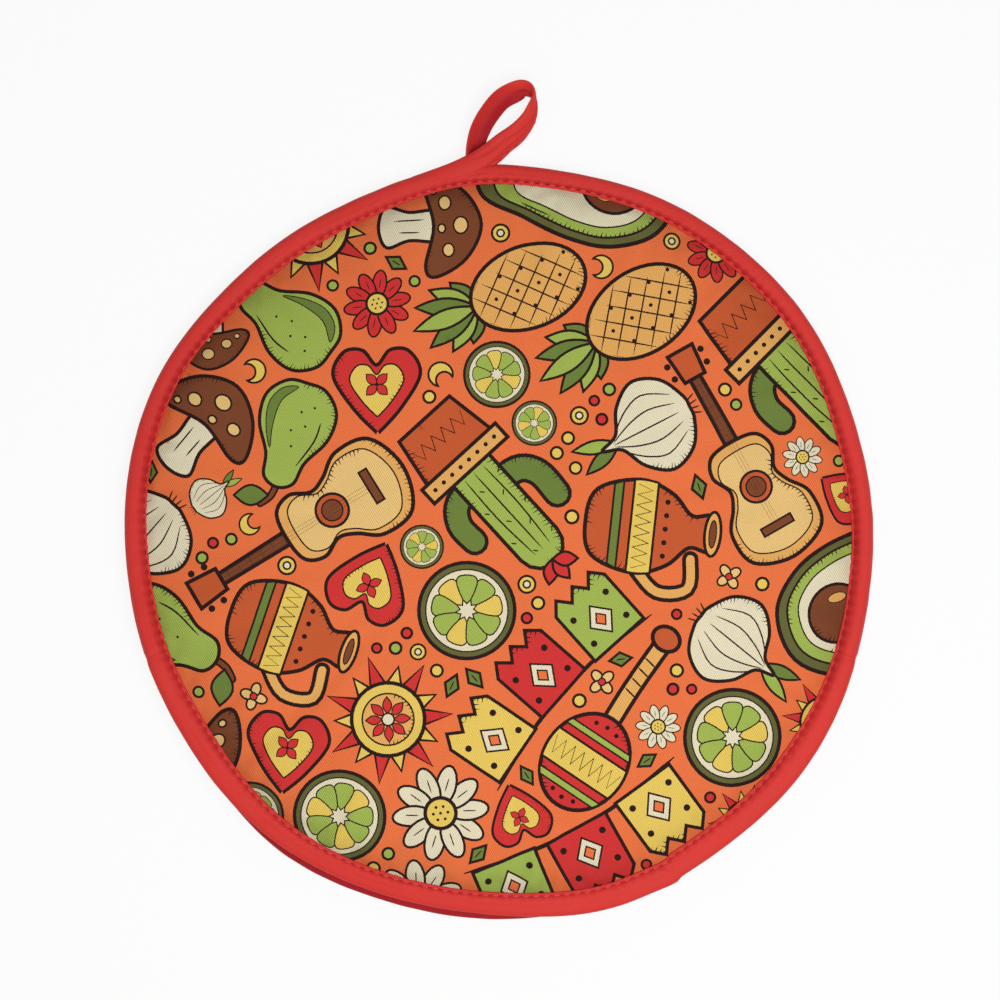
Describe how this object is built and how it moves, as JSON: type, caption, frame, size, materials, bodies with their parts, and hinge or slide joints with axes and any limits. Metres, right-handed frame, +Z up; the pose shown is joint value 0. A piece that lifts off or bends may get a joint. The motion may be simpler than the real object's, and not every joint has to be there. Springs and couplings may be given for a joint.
{
  "type": "tortilla warmer",
  "caption": "Round padded cloth pouch that keeps tortillas warm, with tape-bound rim, a mouth along one side and a hanging loop opposite.",
  "frame": {"origin": "middle of the pouch's underside, on the surface it lies on", "axes": "+Z up through the front cover, +Y from the mouth towards the hanging loop, +X to the right"},
  "size_m": [0.305, 0.3403, 0.018],
  "materials": {
    "printed_cover": "orange printed twill",
    "wadding": "white needled wadding",
    "lining": "plain off-white cloth",
    "binding_tape": "red folded bias tape",
    "thread": "red sewing thread"
  },
  "bodies": {
    "pouch": {"back_cover": "printed_cover", "back_wadding": "wadding", "back_lining": "lining", "back_mouth_binding": "binding_tape", "back_mouth_stitching": "thread", "front_cover": "printed_cover", "front_wadding": "wadding", "front_lining": "lining", "rim_binding": "binding_tape", "rim_stitching": "thread", "loop_tail": "binding_tape"},
    "front_flap": {"front_cover_flap": "printed_cover", "front_wadding_flap": "wadding", "front_lining_flap": "lining", "front_mouth_binding": "binding_tape", "front_mouth_stitching": "thread"},
    "loop": {"hanging_loop": "binding_tape", "loop_stitching": "thread"}
  },
  "joints": [
    {"name": "mouth_open", "type": "hinge", "parent": "pouch", "child": "front_flap", "pos_m": [0, -0.04713, 0.01756], "axis": [-1, 0, 0], "range_deg": [0, 75]},
    {"name": "loop_fold", "type": "hinge", "parent": "pouch", "child": "loop", "pos_m": [-0.005, 0.156, 0.0042], "axis": [1, 0, 0], "range_deg": [0, 90]}
  ]
}
